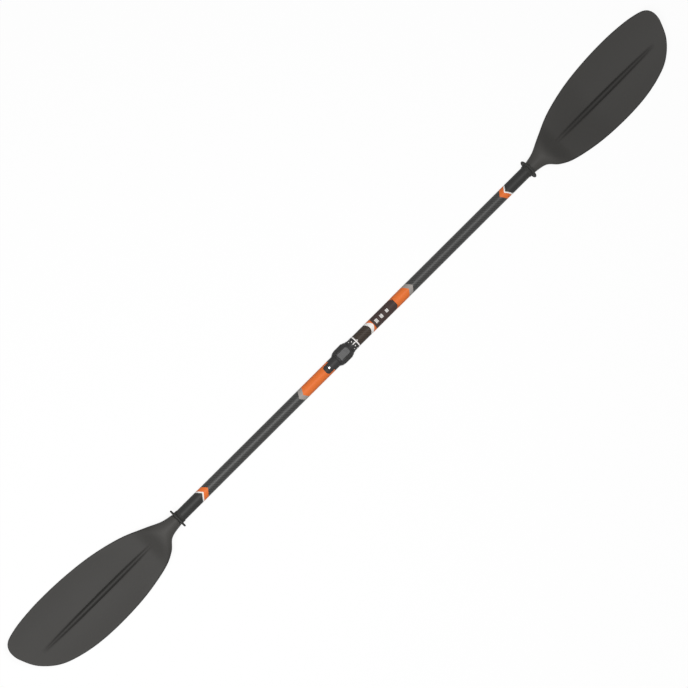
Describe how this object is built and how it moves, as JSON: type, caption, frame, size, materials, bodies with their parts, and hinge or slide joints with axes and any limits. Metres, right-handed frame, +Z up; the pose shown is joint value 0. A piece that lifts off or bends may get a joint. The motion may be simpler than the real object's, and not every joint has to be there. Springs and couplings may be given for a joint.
{
  "type": "kayak paddle",
  "caption": "Take-apart double-bladed kayak paddle with asymmetric ribbed blades, drip rings and a cam-lever ferrule that sets its length and feather angle.",
  "frame": {"origin": "bottom centre of the paddle's box as it lies with both power faces up, on the plane that the blades' back ribs rest on", "axes": "+X along the shaft towards the half with the male tube, +Y towards the blades' long edges, +Z up out of the power faces"},
  "size_m": [2.202, 0.1764, 0.0523],
  "materials": {
    "blade": "moulded fibre-filled nylon, satin",
    "shaft": "woven carbon laminate under satin clear coat, with printed bands",
    "tube": "black laminate tube with printed bands",
    "end_plug": "moulded nylon",
    "acetal": "machined black acetal",
    "rubber": "soft black rubber",
    "foam": "closed-cell foam",
    "wiper": "white wiper rubber",
    "collar": "fine-textured moulded nylon",
    "steel": "stainless steel",
    "lever": "fine-textured moulded nylon, lighter grey",
    "drip_ring": "moulded black rubber"
  },
  "bodies": {
    "left_half": {"left_blade": "blade", "left_shaft": "shaft", "left_bulkhead": "foam", "wiper_seal": "wiper", "clamp_collar": "collar", "collar_rivet": "steel", "lever_pin": "steel"},
    "lever": {"cam_lever": "lever"},
    "shoe": {"brake_shoe": "acetal", "brake_pad": "rubber"},
    "carriage": {"guide_ring": "acetal"},
    "right_half": {"right_blade": "blade", "right_shaft": "shaft", "male_tube": "tube", "male_end_plug": "end_plug", "end_seal": "rubber"},
    "left_ring": {"left_drip_ring": "drip_ring"},
    "right_ring": {"right_drip_ring": "drip_ring"}
  },
  "joints": [
    {"name": "lever_open", "type": "hinge", "parent": "left_half", "child": "lever", "pos_m": [-0.0555, -0.0066, 0.0474], "axis": [0, -1, 0], "range_deg": [0, 110]},
    {"name": "shoe_lift", "type": "slide", "parent": "left_half", "child": "shoe", "axis": [0, 0, 1], "range_m": [0, 0.00082]},
    {"name": "length_slide", "type": "slide", "parent": "left_half", "child": "carriage", "axis": [1, 0, 0], "range_m": [0, 0.26]},
    {"name": "feather_turn", "type": "hinge", "parent": "carriage", "child": "right_half", "pos_m": [-0.2088, -0.0066, 0.027], "axis": [1, 0, 0], "continuous": true},
    {"name": "left_ring_slide", "type": "slide", "parent": "left_half", "child": "left_ring", "axis": [1, 0, 0], "range_m": [0, 0.15]},
    {"name": "right_ring_slide", "type": "slide", "parent": "right_half", "child": "right_ring", "axis": [-1, 0, 0], "range_m": [0, 0.15]}
  ],
  "couplings": [
    {"joint": "shoe_lift", "follows": "lever_open", "m_per_rad": 0.00041669}
  ]
}
